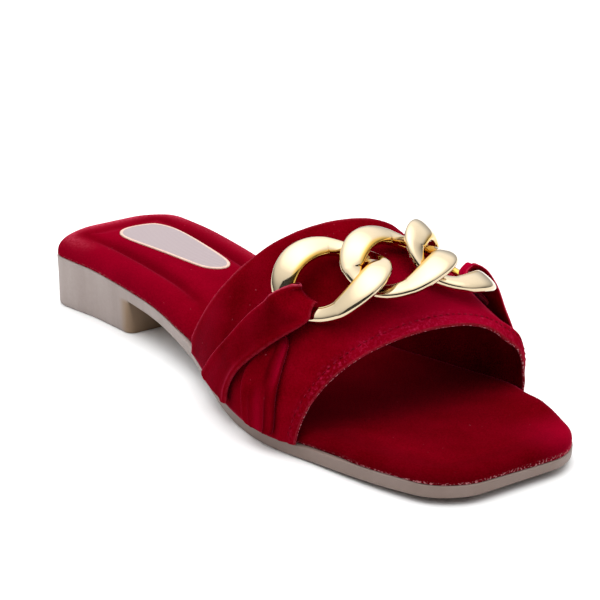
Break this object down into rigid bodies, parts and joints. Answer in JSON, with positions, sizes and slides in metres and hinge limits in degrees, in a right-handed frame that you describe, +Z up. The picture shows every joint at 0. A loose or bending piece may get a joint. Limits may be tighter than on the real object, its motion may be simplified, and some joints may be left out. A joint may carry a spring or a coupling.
{
  "type": "block heel mule",
  "caption": "Slip-on mule with a square toe, a wide hollow velvet band over the forefoot, a twisted curb chain held by folded side straps, a padded insole and a low block heel.",
  "frame": {"origin": "on the ground, under the middle of the shoe's length and width", "axes": "+X to the toe, +Y to the wearer's left (medial side of this right shoe), +Z up"},
  "size_m": [0.25, 0.0994, 0.0687],
  "materials": {
    "sole_rubber": "satin taupe-grey moulded sole",
    "insole_velvet": "crimson velvet",
    "upper_velvet": "crimson velvet",
    "strap_velvet": "crimson velvet",
    "chain_metal": "polished pale gold plating"
  },
  "bodies": {
    "root": {"sole_unit": "sole_rubber", "insole": "insole_velvet", "upper": "upper_velvet", "strap_lateral": "strap_velvet", "strap_medial": "strap_velvet", "chain_link_1": "chain_metal", "chain_link_2": "chain_metal", "chain_link_3": "chain_metal"}
  },
  "joints": []
}
